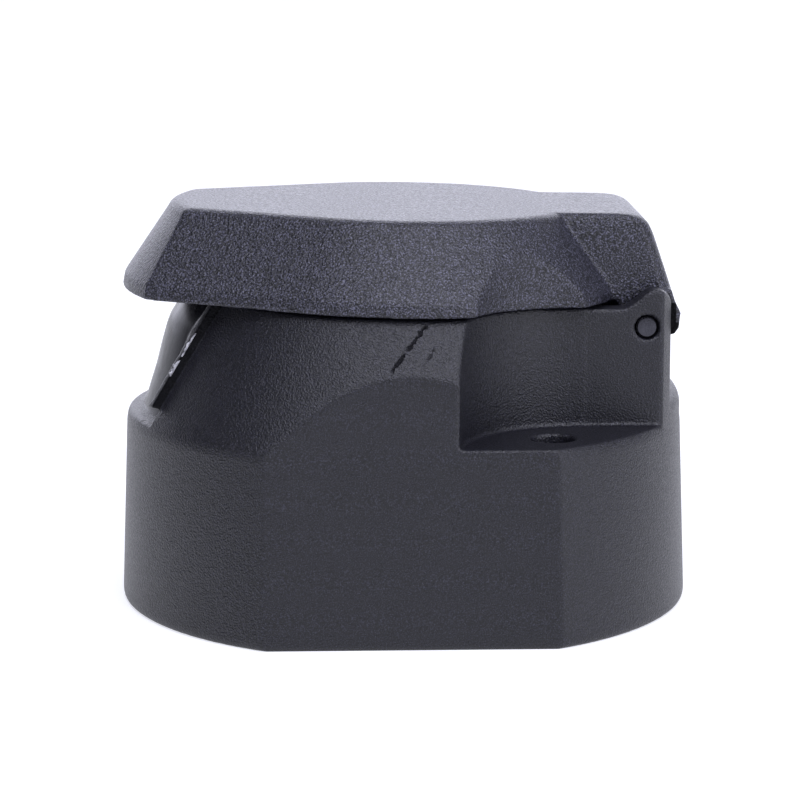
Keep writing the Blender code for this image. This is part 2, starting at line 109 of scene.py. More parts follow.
# Studio: world strengths, lamp powers in watts, and the floor's glow
LEFT_LIGHT, RIGHT_LIGHT, BACK_LIGHT, TOP_LIGHT = 0.04, 0.36, 2.6, 0.9
KEY_POWER, EDGE_POWER = 11.5, 2.6
LIGHT_TINT = (0.86, 0.87, 1.0)
FLOOR_HALF, FLOOR_GLOW = 9000.0, 0.64

# Camera, in metres
CAMERA_PLACE, CAMERA_AIM = (-0.01424, -0.39975, 0.1026), (0.03378, 0.98210, -0.18532)
CAMERA_LENS, SENSOR_WIDTH, CLIP_START = 129.0, 36.0, 0.01


# ---------------------------------------------------------------- mesh helpers

def make_object(name, bm):
    """Turn a bmesh in millimetres into an object in metres."""
    bmesh.ops.remove_doubles(bm, verts=bm.verts, dist=MERGE)
    bmesh.ops.recalc_face_normals(bm, faces=bm.faces)
    bmesh.ops.scale(bm, vec=(MM, MM, MM), verts=bm.verts)
    mesh = bpy.data.meshes.new(name)
    bm.to_mesh(mesh)
    bm.free()
    obj = bpy.data.objects.new(name, mesh)
    bpy.context.scene.collection.objects.link(obj)
    return obj


def loft(name, rings):
    """Closed solid through a stack of rings with equal point counts."""
    bm = bmesh.new()
    loops = [[bm.verts.new(point) for point in ring] for ring in rings]
    count = len(rings[0])
    for low, high in zip(loops, loops[1:]):
        for i in range(count):
            j = (i + 1) % count
            bm.faces.new((low[i], low[j], high[j], high[i]))
    bm.faces.new(loops[0])
    bm.faces.new(loops[-1])
    return make_object(name, bm)


def prism(name, outline, low, high, axis="Z"):
    """Extrude a flat outline along one axis; the outline gives the other two."""
    place = {
        "X": lambda a, b, c: (c, a, b),
        "Y": lambda a, b, c: (a, c, b),
        "Z": lambda a, b, c: (a, b, c),
    }[axis]
    return loft(name, [[place(a, b, level) for a, b in outline] for level in (low, high)])


def block(name, low, high):
    outline = [(low[0], low[1]), (high[0], low[1]), (high[0], high[1]), (low[0], high[1])]
    return prism(name, outline, low[2], high[2])


def arc(x, y, radius, start, end, count):
    """Points on an arc, both ends included; angles are shares of a turn."""
    angles = [TURN * (start + (end - start) * i / count) for i in range(count + 1)]
    return [(x + radius * math.cos(a), y + radius * math.sin(a)) for a in angles]


def cylinder(name, x, y, radius, low, high, axis="Z", count=96):
    return prism(name, arc(x, y, radius, 0.0, 1.0, count)[:-1], low, high, axis)


def turned(name, profile, x=0.0, y=0.0, count=240):
    """Revolve a closed (radius, z) outline about the vertical line at x, y."""
    bm = bmesh.new()
    points = [bm.verts.new((x + r, y, z)) for r, z in profile]
    pairs = [(points[i - 1], points[i]) for i in range(len(points))]
    edges = [bm.edges.new(pair) for pair in pairs if max(v.co.x for v in pair) > x + ON_AXIS]
    bmesh.ops.spin(
        bm, geom=points + edges, cent=(x, y, 0.0), axis=(0.0, 0.0, 1.0),
        angle=TURN, steps=count, use_merge=True,
    )
    centre = [v for v in bm.verts if math.hypot(v.co.x - x, v.co.y - y) < ON_AXIS]
    bmesh.ops.dissolve_verts(bm, verts=centre)
    return make_object(name, bm)


def rounded(profile, radius, steps=4):
    """Round every corner of a closed outline; the radius shrinks beside short edges."""
    most = 0.45
    points = []
    for i, corner in enumerate(profile):
        corner = Vector(corner)
        before, after = Vector(profile[i - 1]), Vector(profile[(i + 1) % len(profile)])
        reach = min(radius, (before - corner).length * most, (after - corner).length * most)
        start = corner + (before - corner).normalized() * reach
        end = corner + (after - corner).normalized() * reach
        for k in range(steps + 1):
            t = k / steps
            points.append(tuple(start * (1 - t) ** 2 + corner * 2 * t * (1 - t) + end * t * t))
    return points


def bake(obj):
    """Replace an object's mesh by the mesh that its modifiers give."""
    graph = bpy.context.evaluated_depsgraph_get()
    mesh = bpy.data.meshes.new_from_object(obj.evaluated_get(graph))
    obj.modifiers.clear()
    obj.data = mesh


def combine(target, other, operation):
    """Apply an exact Boolean to the target and remove the other object."""
    modifier = target.modifiers.new(operation.lower(), "BOOLEAN")
    modifier.operation = operation
    modifier.solver = "EXACT"
    modifier.object = other
    bake(target)
    bpy.data.objects.remove(other, do_unlink=True)
    return target


def cut(target, *others):
    for other in others:
        combine(target, other, "DIFFERENCE")
    return target


def add(target, *others):
    for other in others:
        combine(target, other, "UNION")
    return target


def keep(target, other):
    return combine(target, other, "INTERSECT")


def relax(obj, passes):
    """Even out a mesh, which rounds its edges, and note how far each point gave way."""
    mesh = obj.data
    count = len(mesh.vertices)
    places = np.zeros(count * 3)
    mesh.vertices.foreach_get("co", places)
    places = places.reshape(-1, 3)
    normals = np.zeros(count * 3)
    mesh.vertices.foreach_get("normal", normals)
    normals = normals.reshape(-1, 3)
    ends = np.zeros(len(mesh.edges) * 2, int)
    mesh.edges.foreach_get("vertices", ends)
    first, second = ends.reshape(-1, 2).T
    degree = np.bincount(ends, minlength=count)[:, None]
    moved = places.copy()
    for _ in range(passes):
        total = np.empty_like(moved)
        for axis in range(3):
            total[:, axis] = np.bincount(first, moved[second, axis], count)
            total[:, axis] += np.bincount(second, moved[first, axis], count)
        moved += 0.5 * (total / degree - moved)
    mesh.vertices.foreach_set("co", moved.ravel())
    give = -np.einsum("ij,ij->i", moved - places, normals) / MM
    mark = mesh.attributes.new("edge_wear", "FLOAT", "POINT")
    mark.data.foreach_set("value", np.clip(give / FULL_WEAR, -1.0, 1.0))
    mesh.update()


def soften(obj, voxel, passes, share):
    """Remesh a solid evenly, round its edges as a mould does, and thin the flat areas."""
    remesh = obj.modifiers.new("even", "REMESH")
    remesh.mode = "VOXEL"
    remesh.voxel_size = voxel * MM
    bake(obj)
    relax(obj, passes)
    thin = obj.modifiers.new("thin", "DECIMATE")
    thin.ratio = share
    bake(obj)
    return obj


def finish_piece(obj, material, body, slot, *nodes, smooth_angle=None):
    """Shade a piece smooth and hand it to the frame."""
    obj.data.name = obj.name
    obj.data.materials.clear()
    obj.data.materials.append(material)
    obj.data.shade_smooth()
    if smooth_angle:
        obj.data.set_sharp_from_angle(angle=math.radians(smooth_angle))
    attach(obj, body)
    if nodes:
        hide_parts(*nodes)
    return obj


# ---------------------------------------------------------------- housing

def cone_radius(z):
    share = (z - SHOULDER_Z) / (BODY_TOP_Z - SHOULDER_Z)
    return CONE_R + share * (CONE_TOP_R - CONE_R)


def outer_body():
    profile = [
        (0.0, 0.0), (SKIRT_R - 0.5, 0.0), (SKIRT_R - 0.1, 0.3), (SKIRT_R, 0.9),
        (SKIRT_TOP_R + 0.07, SHOULDER_Z - 1.3), (SKIRT_TOP_R - 0.1, SHOULDER_Z - 0.5),
        (CONE_R, SHOULDER_Z + LAP), (cone_radius(RAISED_TOP_Z), RAISED_TOP_Z), (0.0, RAISED_TOP_Z),
    ]
    return turned("housing_shell", profile)


def sector_of(profile, y_from, y_to):
    """The part of a turned solid on the -X side between two planes of constant y."""
    low, high = sorted((y_from, y_to))
    solid = turned("sector", profile)
    return keep(solid, block("slab", (-FAR, low, 0.0), (NOSE_CORE_X, high, FAR)))


def nose_panel():
    """Smooth flared wall that replaces the cone opposite the hinge."""
    low, top = SHOULDER_Z - 2.0, RAISED_TOP_Z
    foot_r = 37.4
    flare = [
        (36.6, 27.4), (36.2, 28.6), (35.7, 30.2), (35.25, 31.6), (34.8, 33.0), (34.45, 34.4),
        (34.1, 35.8), (33.7, 37.2), (33.3, 38.6), (32.8, 39.9), (32.1, 41.0), (31.5, 41.9),
        (30.7, 43.0), (29.8, top),
    ]
    wall = [(NOSE_CORE_R, low), (foot_r, low), (foot_r, SHOULDER_Z + LAP), *flare, (NOSE_CORE_R, top)]
    return sector_of(wall, -NOSE_HALF - LAP, NOSE_HALF + LAP)


def nose_rib(side):
    """Thin upright rib along one edge of the nose panel, parallel to the cone."""
    low, high = 29.3, RAISED_TOP_Z
    wall = [
        (NOSE_CORE_R, low), (cone_radius(low) + NOSE_RIB, low),
        (cone_radius(high) + NOSE_RIB, high), (NOSE_CORE_R, high),
    ]
    return sector_of(wall, side * (NOSE_HALF - NOSE_RIB), side * (NOSE_HALF + 2 * LAP))


def ridge():
    """Block that carries the hinge, with the ears' raised, rounded tops."""
    start, low, top = 4.0, SHOULDER_Z - 2.0, BODY_TOP_Z - LAP
    outline = [(start, low), (RIDGE_END_X, low)]
    outline += arc(RIDGE_END_X - EAR_TOP_R, EAR_TOP_Z, EAR_TOP_R, 0.0, 0.29, 12)
    outline += [(PIN_X - 0.5, 44.7), (30.9, 43.8), (29.4, top), (start, top)]
    body = prism("ridge", outline, -RIDGE_HALF, RIDGE_HALF, axis="Y")
    corner_x, corner_y = RIDGE_END_X - EAR_ROUND, RIDGE_HALF - EAR_ROUND
    plan = [(0.0, RIDGE_HALF + LAP), (0.0, -RIDGE_HALF - LAP)]
    plan += arc(corner_x, -corner_y, EAR_ROUND, -0.25, 0.0, 8)
    plan += arc(corner_x, corner_y, EAR_ROUND, 0.0, 0.25, 8)
    keep(body, prism("plan", plan, 0.0, FAR))
    limit_r = SKIRT_TOP_R - LAP
    limit = [(0.0, 0.0), (limit_r, 0.0), (limit_r, FAR), (0.0, FAR)]
    return keep(body, turned("limit", limit))


def ridge_foot():
    """Rounded shoulder between the skirt and the outer end of the ridge."""
    edge = SKIRT_TOP_R - 0.02
    profile = [(FOOT_INNER_R, FOOT_BOTTOM_Z), (edge, FOOT_BOTTOM_Z)]
    profile += arc(edge - FOOT_R, FOOT_Z, FOOT_R, 0.0, 0.25, 8)
    profile += [(FOOT_INNER_R, FOOT_Z + FOOT_R)]
    solid = turned("foot", profile)
    half = RIDGE_HALF - LAP
    return keep(solid, block("slab", (10.0, -half, 0.0), (FAR, half, FAR)))


def facet_cutter(side):
    """Everything outside one of the two flat sides."""
    top = FAR
    outline = [
        (side * (FACET_Y + FACET_DRAFT), -1.0), (side * (FACET_Y - FACET_DRAFT * top), top),
        (side * FAR, top), (side * FAR, -1.0),
    ]
    return prism("facet", outline, -FAR, FAR, axis="X")


def pocket_cutter(side):
    """Tool pocket over one mounting screw beside the hinge ridge."""
    x, y = POCKET_X, side * POCKET_Y
    round_part = cylinder("pocket", x, y, POCKET_R, SHOULDER_Z, FAR, count=200)
    low, high = sorted((side * RIDGE_HALF, side * FAR))
    return add(round_part, block("bay", (x, low, SHOULDER_Z), (FAR, high, FAR)))


def core_cutter():
    """Moulding recess around the underside, inside the skirt wall."""
    profile = [
        (CORE_IN_R, -1.0), (CORE_OUT_R + 0.3, -1.0), (CORE_OUT_R, CORE_TOP_Z),
        (CORE_IN_R, CORE_TOP_Z),
    ]
    band = block("band", (-FAR, -CORE_HALF_Y, -2.0), (FAR, CORE_HALF_Y, FAR))
    return keep(turned("core", profile), band)


def mouth_cutter():
    """Plug cavity above, ledge, and wiring chamber below."""
    profile = [
        (0.0, -1.0), (CHAMBER_R + 0.5, -1.0), (CHAMBER_R, 0.6), (CHAMBER_R, LEDGE_Z),
        (MOUTH_R, LEDGE_Z), (MOUTH_R, COLLAR_TOP_Z - 0.6),
        (MOUTH_R + 0.6 + LAP, COLLAR_TOP_Z + LAP), (MOUTH_R + 0.6 + LAP, FAR), (0.0, FAR),
    ]
    cutter = turned("mouth", profile, x=MOUTH_X)
    for side in (-1, 1):
        add(cutter, cylinder("lobe", MOUTH_X, side * LOBE_Y, LOBE_R, -1.0, LEDGE_Z))
    return cutter


def collar():
    """Wall round the plug's mouth that the lid seals on."""
    inner, chamfer = MOUTH_R - 1.0, 0.4
    profile = [
        (inner, COLLAR_BOTTOM_Z), (COLLAR_R, COLLAR_BOTTOM_Z), (COLLAR_R, COLLAR_TOP_Z - chamfer),
        (COLLAR_R - chamfer, COLLAR_TOP_Z), (inner, COLLAR_TOP_Z),
    ]
    return turned("collar", profile, x=MOUTH_X)


def hinge_slot_cutter():
    """Space between the ears for the lid's knuckle to turn in."""
    reach = HINGE_SLOT_R
    slot = cylinder("slot", PIN_X, PIN_Z, reach, -EAR_INNER_Y, EAR_INNER_Y, "Y")
    above = block("above", (PIN_X - reach, -EAR_INNER_Y, PIN_Z), (FAR, EAR_INNER_Y, FAR))
    outside = block("outside", (PIN_X, -EAR_INNER_Y, PIN_Z - reach), (FAR, EAR_INNER_Y, FAR))
    return add(slot, above, outside)


def drill_housing(body):
    """Screw bosses, mounting holes, the pin's bore, and pilots for the carrier screws."""
    for x, y in SCREW_HOLES:
        add(body, cylinder("boss", x, y, BOSS_R, LAP, SHOULDER_Z - 1.0))
    cut(body, mouth_cutter(), hinge_slot_cutter())
    for x, y in SCREW_HOLES:
        cut(body, cylinder("hole", x, y, SCREW_HOLE_R, -1.0, FAR))
    third_x, third_y = SCREW_HOLES[2]
    cut(body, cylinder("head", third_x, third_y, HEAD_BORE_R, SHOULDER_Z + 4 * LAP, FAR))
    cut(body, cylinder("pin_hole", PIN_X, PIN_Z, PIN_HOLE_R, -FAR, FAR, "Y", count=64))
    for side in (-1, 1):
        cut(body, cylinder("pilot", MOUTH_X, side * LOBE_Y, PILOT_R, LEDGE_Z - 1.0, PILOT_TOP_Z, count=40))
    key_x = MOUTH_X - MOUTH_R
    low = (key_x - 1.0, -KEY_WIDTH / 2, LEDGE_Z + 1.0)
    high = (key_x + KEY_DEPTH, KEY_WIDTH / 2, COLLAR_TOP_Z - 3.0)
    add(body, block("key", low, high))


def above_lid_rest():
    """Everything above the plane that the closed lid's rim lies just over."""
    reach = FAR
    rise = math.tan(LID_REST_TILT)
    outline = [
        (-reach, BODY_TOP_Z + rise * (PIN_X + reach)), (reach, BODY_TOP_Z + rise * (PIN_X - reach)),
        (reach, HIGH), (-reach, HIGH),
    ]
    return prism("above_rest", outline, -reach, reach, axis="Y")


def build_housing():
    """The whole moulding; its top follows the lid at rest, so the gap between them stays even."""
    body = outer_body()
    cut(body, block("nose", (-FAR, -NOSE_HALF, SHOULDER_Z), (NOSE_CORE_X, NOSE_HALF, FAR)))
    add(body, nose_panel(), nose_rib(-1), nose_rib(1))
    cut(body, above_lid_rest())
    add(body, ridge(), ridge_foot())
    cut(body, facet_cutter(-1), facet_cutter(1), pocket_cutter(-1), pocket_cutter(1))
    add(body, collar())
    cut(body, core_cutter())
    drill_housing(body)
    return soften(body, voxel=0.28, passes=3, share=0.3)


def mark_nose(obj, material):
    """Give the smooth nose wall between the ribs its own finish."""
    obj.data.materials.append(material)
    front, half, foot = -26.0, NOSE_HALF - NOSE_RIB + 0.1, SHOULDER_Z + 0.6
    for face in obj.data.polygons:
        x, y, z = face.center / MM
        if x < front and abs(y) < half and z > foot and face.normal.x < -0.3:
            face.material_index = 1


# ---------------------------------------------------------------- lid

def tilted(obj):
    """Set a lid piece at its rest tilt about the hinge."""
    pivot = Vector((PIN_X * MM, 0.0, PIN_Z * MM))
    turn = Matrix.Rotation(LID_REST_TILT, 4, "Y")
    obj.data.transform(Matrix.Translation(pivot) @ turn @ Matrix.Translation(-pivot))
    return obj


def lid_outline(spread, z):
    """Lid plan grown outwards by spread: round, with tangent sides to a curved end."""
    radius, end = LID_R + spread, LID_END_R + spread
    touch = 0.25 + LID_TANGENT / TURN
    corner = touch + math.acos(radius / end) / TURN
    points = arc(0.0, 0.0, radius, -touch, touch, 150)
    points += arc(0.0, 0.0, end, corner, 1.0 - corner, 40)
    return [(x, y, z) for x, y in points]


def spread_at(z):
    """How far the lid's sloping side stands outside the top outline at height z."""
    lip = LID_BOTTOM_Z + LIP_HEIGHT
    if z <= lip:
        return LID_SPREAD - LIP_DRAFT * (z - LID_BOTTOM_Z) / LIP_HEIGHT
    return (LID_SPREAD - LIP_DRAFT) * (LID_TOP_Z - z) / (LID_TOP_Z - lip)


def lid_shell():
    """Outside of the lid: a lip, a sloping side and a rounded top edge."""
    levels = [(spread_at(z), z) for z in (LID_BOTTOM_Z, 44.2, 45.0, 50.0, LID_TOP_Z - 1.1)]
    levels += [(0.45, LID_TOP_Z - 0.55), (0.0, LID_TOP_Z - 0.2), (-0.8, LID_TOP_Z)]
    return loft("lid_shell", [lid_outline(spread, z) for spread, z in levels])


def lid_hollow():
    """Inside of the lid, clear of the hinge block and behind the scallops."""
    levels = (LID_BOTTOM_Z - 1.0, 45.0, LID_CEILING_Z)
    hollow = loft("hollow", [lid_outline(spread_at(z) - LID_WALL, z) for z in levels])
    keep(hollow, block("limit", (-FAR, -FAR, 0.0), (HOLLOW_END_X, FAR, FAR)))
    for side in (-1, 1):
        reach = SCALLOP_R + LID_WALL
        cut(hollow, cylinder("wall", SCALLOP_X, side * SCALLOP_Y, reach, 0.0, FAR, count=160))
    return hollow


def hinge_block():
    """Narrower block over the hinge, sloping and rounded at its outer end."""
    levels = [
        (LID_BOTTOM_Z, 36.9, 13.6, 3.4), (48.0, 35.2, 13.5, 3.1), (52.4, 33.6, 13.4, 2.8),
        (53.8, 32.9, 13.2, 2.7), (54.6, 32.0, 13.0, 2.6), (55.0, 30.9, 12.7, 2.5),
        (LID_TOP_Z + 0.01, 29.4, 12.4, 2.5),
    ]
    crease = 0.165
    rings = []
    for z, end_x, half, corner in levels:
        middle = half - corner * math.sin(crease * TURN)
        plan = [(14.0, half), (14.0, -half)]
        plan += arc(end_x - corner, -middle, corner, -crease, 0.0, 8)
        plan += arc(end_x - corner, middle, corner, 0.0, crease, 8)
        rings.append([(x, y, z) for x, y in plan])
    return loft("block", rings)


def knuckle():
    """Barrel round the pin, with the tail that wraps behind the ears."""
    barrel = cylinder("knuckle", PIN_X, PIN_Z, KNUCKLE_R, -KNUCKLE_HALF, KNUCKLE_HALF, "Y", count=120)
    web = [
        (28.9, 45.0), (28.9, 41.6), (PIN_X, PIN_Z), (35.2, 38.5), (36.7, 38.7),
        (37.3, 39.6), (37.5, 41.7), (36.7, LID_BOTTOM_Z), (36.1, 45.0),
    ]
    return add(barrel, prism("web", web, -KNUCKLE_HALF, KNUCKLE_HALF, axis="Y"))


def build_lid():
    """Shell, hinge block and knuckle in one moulding, with slots in the tail for the spring's legs."""
    lid = lid_shell()
    for side in (-1, 1):
        cut(lid, cylinder("scallop", SCALLOP_X, side * SCALLOP_Y, SCALLOP_R, 0.0, HIGH, count=200))
    add(lid, hinge_block(), knuckle())
    cut(lid, lid_hollow())
    for side in (-1, 1):
        low, high = sorted((side * (KNUCKLE_HALF + 0.1), side * 40.0))
        cut(lid, cylinder("relief", PIN_X, PIN_Z, EAR_RELIEF_R, low, high, "Y", count=120))
    cut(lid, block("spring_gap", (20.0, -SPRING_GAP_HALF, 30.0), (36.1, SPRING_GAP_HALF, 46.4)))
    cut(lid, cylinder("pin_hole", PIN_X, PIN_Z, PIN_HOLE_R, -FAR, FAR, "Y", count=64))
    leg_y, half = COIL_TURNS * COIL_PITCH / 2, 0.8
    cut(lid, block("leg_slot", (35.0, leg_y - half, 41.3), (TAIL_CUT_X, leg_y + half, 43.0)))
    cut(lid, block("anchor_slot", (33.0, -leg_y - half, 30.0), (TAIL_CUT_X, half - leg_y, 42.4)))
    add(lid, block("lug", (-23.3, -4.0, 46.0), (-21.5, 4.0, LID_CEILING_Z + 0.5)))
    return soften(tilted(lid), voxel=0.25, passes=3, share=0.35)


# ---------------------------------------------------------------- hinge hardware

def build_pin():
    """Plain pin with a small chamfer and a barely domed face at each end."""
    half, edge = PIN_HALF, 0.22
    profile = [
        (0.0, -half - 0.06), (0.7, -half - 0.05), (PIN_R - edge, -half), (PIN_R - 0.08, -half + 0.16),
        (PIN_R, -half + edge), (PIN_R, half - edge), (PIN_R - 0.08, half - 0.16),
        (PIN_R - edge, half), (0.7, half + 0.05), (0.0, half + 0.06),
    ]
    pin = turned("pin", profile, count=64)
    lay_down = Matrix.Rotation(math.pi / 2, 4, "X")
    pin.data.transform(Matrix.Translation((PIN_X * MM, 0.0, PIN_Z * MM)) @ lay_down)
    return pin


def coil_point(share, half):
    """A point on the coil's centre line, share 0 at the housing end and 1 at the lid end."""
    angle = -TURN / 4 - COIL_TURNS * TURN * share
    return Vector((
        PIN_X + COIL_R * math.cos(angle), half * (2 * share - 1), PIN_Z + COIL_R * math.sin(angle),
    ))


def wire(name, path, radius=WIRE_R, sides=14):
    """Round wire swept along a path, with softly closed ends."""
    rings = []
    across = Vector((0.0, 1.0, 0.0))
    for i, point in enumerate(path):
        ahead = path[min(i + 1, len(path) - 1)] - path[max(i - 1, 0)]
        ahead.normalize()
        side = (across - ahead * across.dot(ahead)).normalized()
        other = ahead.cross(side)
        size = radius * (0.75 if i in (0, len(path) - 1) else 1.0)
        rings.append([
            point + size * (math.cos(TURN * k / sides) * side + math.sin(TURN * k / sides) * other)
            for k in range(sides)
        ])
    return loft(name, rings)


def smooth_path(points, steps=8):
    """Catmull-Rom curve through a list of points."""
    ends = [points[0] * 2 - points[1]] + points + [points[-1] * 2 - points[-2]]
    path = []
    for a, b, c, d in zip(ends, ends[1:], ends[2:], ends[3:]):
        for i in range(steps):
            t = i / steps
            path.append(0.5 * (
                2 * b + (c - a) * t + (2 * a - 5 * b + 4 * c - d) * t ** 2
                + (3 * b - a - 3 * c + d) * t ** 3
            ))
    return path + [points[-1]]


def build_spring():
    """Torsion spring: coil and housing leg in one piece, lid leg in another."""
    half = COIL_TURNS * COIL_PITCH / 2
    start = coil_point(0.0, half)
    leg = smooth_path([
        Vector((36.2, -half, 35.1)), Vector((34.9, -half, 36.1)), Vector((33.6, -half, 37.2)), start,
    ])
    steps = int(COIL_TURNS * 32)
    coil = wire("spring_coil", leg[:-1] + [coil_point(i / steps, half) for i in range(steps + 1)])
    top = coil_point(1.0, half)
    path = smooth_path([
        top, Vector((33.9, half, PIN_Z + 2.6)), Vector((35.4, half, PIN_Z + 2.15)),
        Vector((36.7, half, PIN_Z + 1.8)), Vector((37.6, half, PIN_Z + 1.5)),
    ])
    return coil, wire("spring_lid_leg", path)


# ---------------------------------------------------------------- contact set

def contact_places():
    """One contact in the middle and a ring of them round it."""
    places = [(MOUTH_X, 0.0)]
    for i in range(RING_COUNT):
        angle = TURN * (i + 0.5) / RING_COUNT
        places.append((
            MOUTH_X + CONTACT_PITCH_R * math.cos(angle), CONTACT_PITCH_R * math.sin(angle),
        ))
    return places


def build_carrier():
    """Insulating insert: island, flange, two screw lobes and a bore for each contact."""
    top = LEDGE_Z - GAP
    profile = [
        (0.0, CARRIER_Z), (CHAMBER_R - GAP, CARRIER_Z), (CHAMBER_R - GAP, top), (CARRIER_R + 1.0, top),
        (CARRIER_R, top + 1.0), (CARRIER_R, CARRIER_TOP_Z - 0.6), (CARRIER_R - 0.6, CARRIER_TOP_Z),
        (0.0, CARRIER_TOP_Z),
    ]
    carrier = turned("contact_insert", profile, x=MOUTH_X)
    for side in (-1, 1):
        add(carrier, cylinder("lobe", MOUTH_X, side * LOBE_Y, LOBE_R - GAP, CARRIER_Z, top))
    for side in (-1, 1):
        cut(carrier, cylinder("hole", MOUTH_X, side * LOBE_Y, 1.7, 0.0, FAR, count=40))
    for x, y in contact_places():
        cut(carrier, cylinder("hole", x, y, CONTACT_R + GAP, 0.0, FAR, count=56))
    return soften(carrier, voxel=0.25, passes=3, share=0.25)


def build_contact(number, x, y):
    """Turned brass socket with a clamp terminal below."""
    shoulder, mouth, thread, core_r = CARRIER_Z - GAP, CARRIER_TOP_Z - 1.2, 1.75, 0.4
    thread_end, bore_end = 17.2, 25.6
    outline = [
        (thread, TERMINAL_BOTTOM_Z), (TERMINAL_R, TERMINAL_BOTTOM_Z), (TERMINAL_R, shoulder),
        (CONTACT_R, shoulder), (CONTACT_R, mouth), (CONTACT_BORE_R + 0.35, mouth),
        (CONTACT_BORE_R, mouth - 0.5), (CONTACT_BORE_R, 26.0), (core_r, bore_end),
        (core_r, thread_end), (thread, 16.6),
    ]
    core = [(0.0, thread_end), (core_r + LAP, thread_end), (core_r + LAP, bore_end), (0.0, 25.4)]
    contact = turned(f"contact_socket_{number}", rounded(outline, 0.22), x=x, y=y, count=56)
    return add(contact, turned("core", core, x=x, y=y, count=24))


def build_terminal_screw(number, x, y):
    """Slotted clamp screw, threaded up into the back of its contact."""
    head, shank = TERMINAL_BOTTOM_Z - GAP, 1.45
    outline = [
        (0.0, head - 1.95), (1.5, head - 1.9), (2.3, head - 1.65), (2.75, head - 1.15),
        (2.8, head - 0.1), (2.7, head), (shank, head),
    ]
    pitch, turns = 0.7, 8
    for i in range(turns):
        z = head + 0.5 + i * pitch
        outline += [(shank - 0.18, z), (shank, z + 0.3)]
    outline += [(shank - 0.3, 16.0), (0.0, 16.2)]
    screw = turned(f"clamp_screw_{number}", outline, x=x, y=y, count=56)
    cut(screw, block("slot", (x - 3.5, y - 0.4, head - 3.0), (x + 3.5, y + 0.4, head - 0.9)))
    screw.data.transform(about(x, y, 0.9 * number))
    return screw


def about(x, y, angle):
    """Turn about the vertical line at x, y, in millimetres."""
    place = Vector((x * MM, y * MM, 0.0))
    return Matrix.Translation(place) @ Matrix.Rotation(angle, 4, "Z") @ Matrix.Translation(-place)


def build_carrier_screw(number, side):
    """Cross-recessed screw that holds the carrier up against its ledge."""
    x, y, head = MOUTH_X, side * LOBE_Y, CARRIER_Z - GAP
    outline = [
        (0.0, head - 1.9), (1.6, head - 1.8), (2.5, head - 1.5), (2.95, head - 0.9),
        (3.0, head - 0.1), (2.9, head), (1.3, head), (1.3, 27.6), (0.7, 28.7), (0.0, 29.1),
    ]
    screw = turned(f"flange_screw_{number}", outline, x=x, y=y, count=56)
    for half in ((1.9, 0.35), (0.35, 1.9)):
        low = (x - half[0], y - half[1], head - 3.0)
        cut(screw, block("slot", low, (x + half[0], y + half[1], head - 0.8)))
    screw.data.transform(about(x, y, 0.5 + number))
    return screw


def build_seal():
    """Rubber ring in the lid with a shallow groove where the collar presses."""
    centre, low, high = 0.8, COLLAR_TOP_Z + GAP, LID_CEILING_Z - GAP
    outline = [
        (17.6, low), (19.2, low), (19.5, low + 0.25), (21.6, low + 0.25), (21.9, low),
        (22.2, low), (22.2, high), (17.6, high),
    ]
    seal = turned("seal_ring", rounded(outline, 0.3), x=centre)
    cut(seal, block("notch", (-FAR, -4.4, 0.0), (-20.9, 4.4, FAR)))
    return tilted(seal)


# ---------------------------------------------------------------- materials

